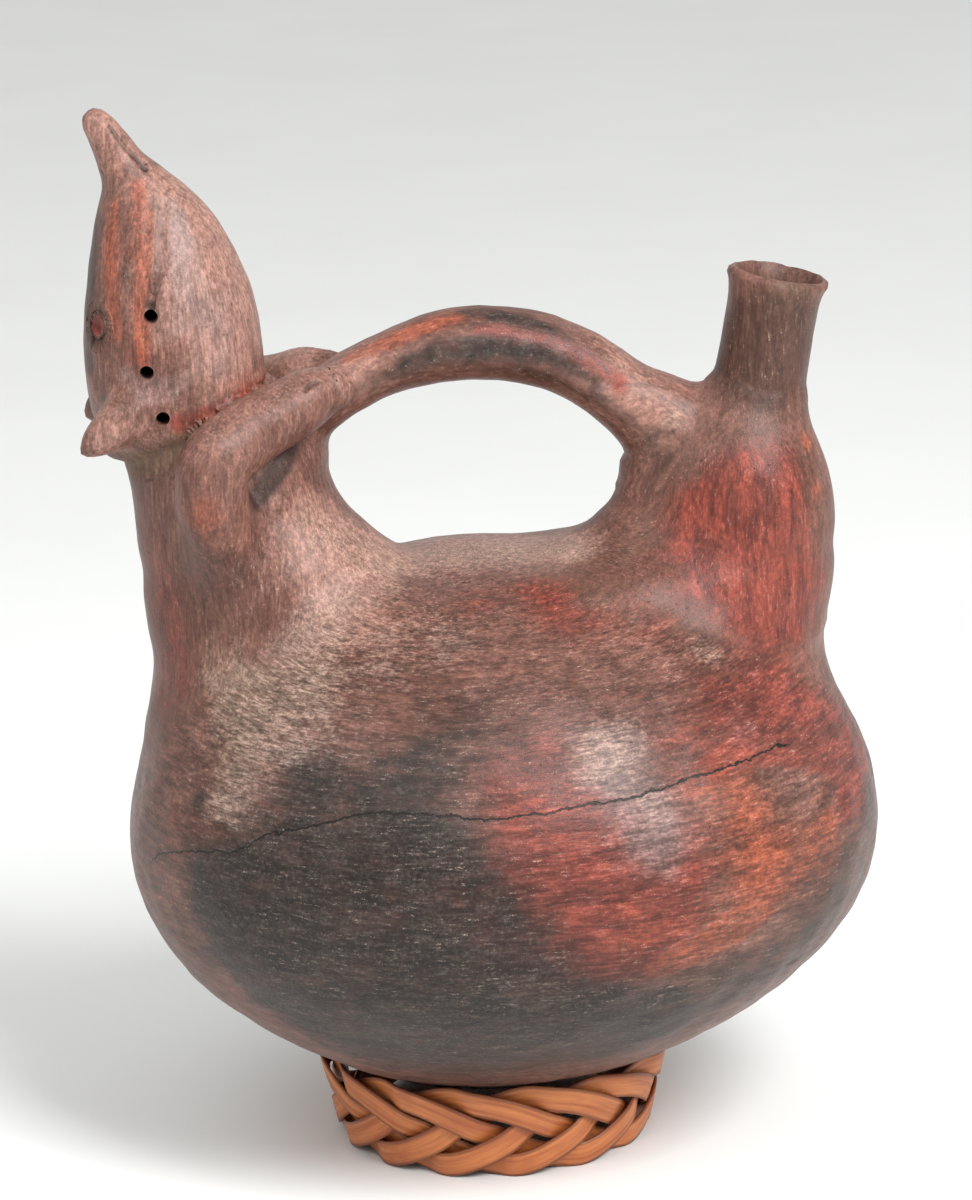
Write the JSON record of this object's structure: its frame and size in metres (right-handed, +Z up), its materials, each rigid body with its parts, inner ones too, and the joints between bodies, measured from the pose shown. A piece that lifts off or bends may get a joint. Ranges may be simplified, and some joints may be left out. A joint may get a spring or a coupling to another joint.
{
  "type": "whistling vessel",
  "caption": "Hollow clay whistling vessel with an animal figure, an arched bridge handle and a leaning spout, resting on a plaited cane ring.",
  "frame": {"origin": "on the floor under the middle of the vessel's length and depth", "axes": "+Z up, +X from the animal towards the spout, +Y away from the side that the picture shows"},
  "size_m": [0.195, 0.172, 0.2667],
  "materials": {
    "clay": "burnished red slip with dark fire clouds and worn patches",
    "cane": "natural split cane, satin"
  },
  "bodies": {
    "root": {"whistling_vessel": "clay", "braided_cane_ring": "cane"}
  },
  "joints": []
}
